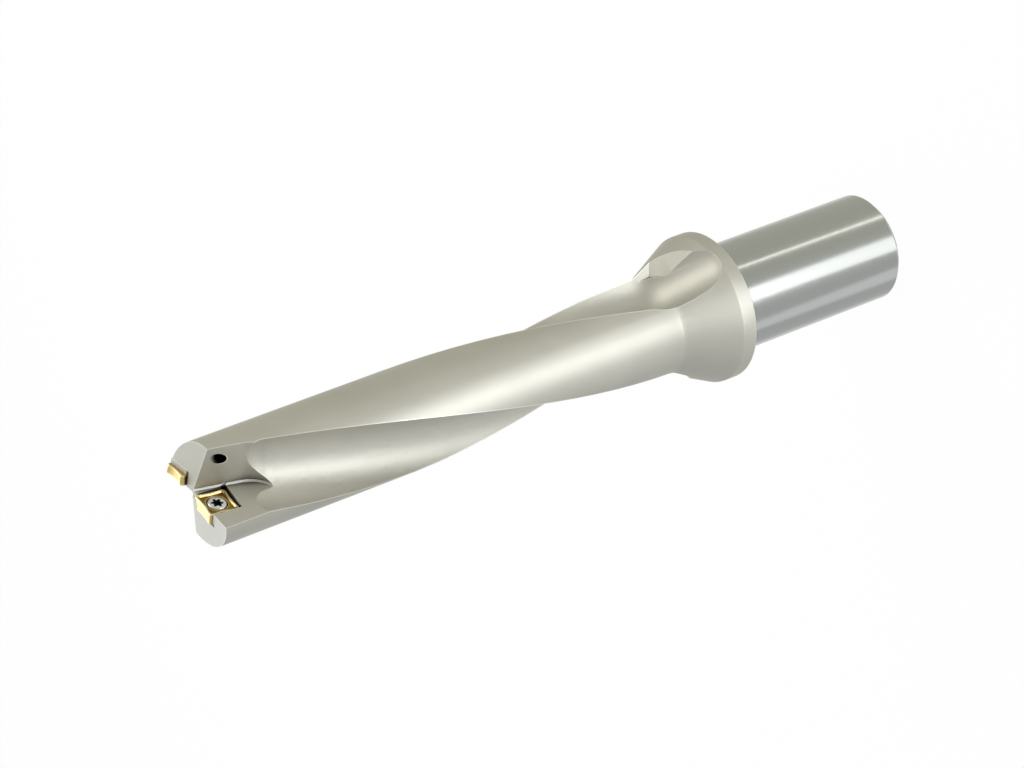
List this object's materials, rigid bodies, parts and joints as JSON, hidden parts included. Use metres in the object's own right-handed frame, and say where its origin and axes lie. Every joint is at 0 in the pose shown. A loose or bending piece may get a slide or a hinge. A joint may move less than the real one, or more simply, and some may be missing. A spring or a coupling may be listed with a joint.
{
  "type": "indexable drill",
  "caption": "Indexable drill with a cylindrical flanged shank, a helically fluted steel body and square screwed-on cutting inserts at the tip.",
  "frame": {"origin": "centre of the shank's rear end face, on the drill's axis", "axes": "+Z from the shank to the cutting tip along the drill's axis, +X at right angles to it, where the clamping flat on the shank faces 142.5 degrees round from +X towards +Y"},
  "size_m": [0.044, 0.044, 0.2344],
  "materials": {
    "satin_nickel_body": "satin nickel-plated steel with a ground shank",
    "gold_coated_carbide": "carbide with a satin gold-coloured nitride coating",
    "screw_steel": "bright machined steel"
  },
  "bodies": {
    "root": {"drill_body": "satin_nickel_body", "central_insert": "gold_coated_carbide", "central_insert_screw": "screw_steel", "peripheral_insert": "gold_coated_carbide", "peripheral_insert_screw": "screw_steel"}
  },
  "joints": []
}
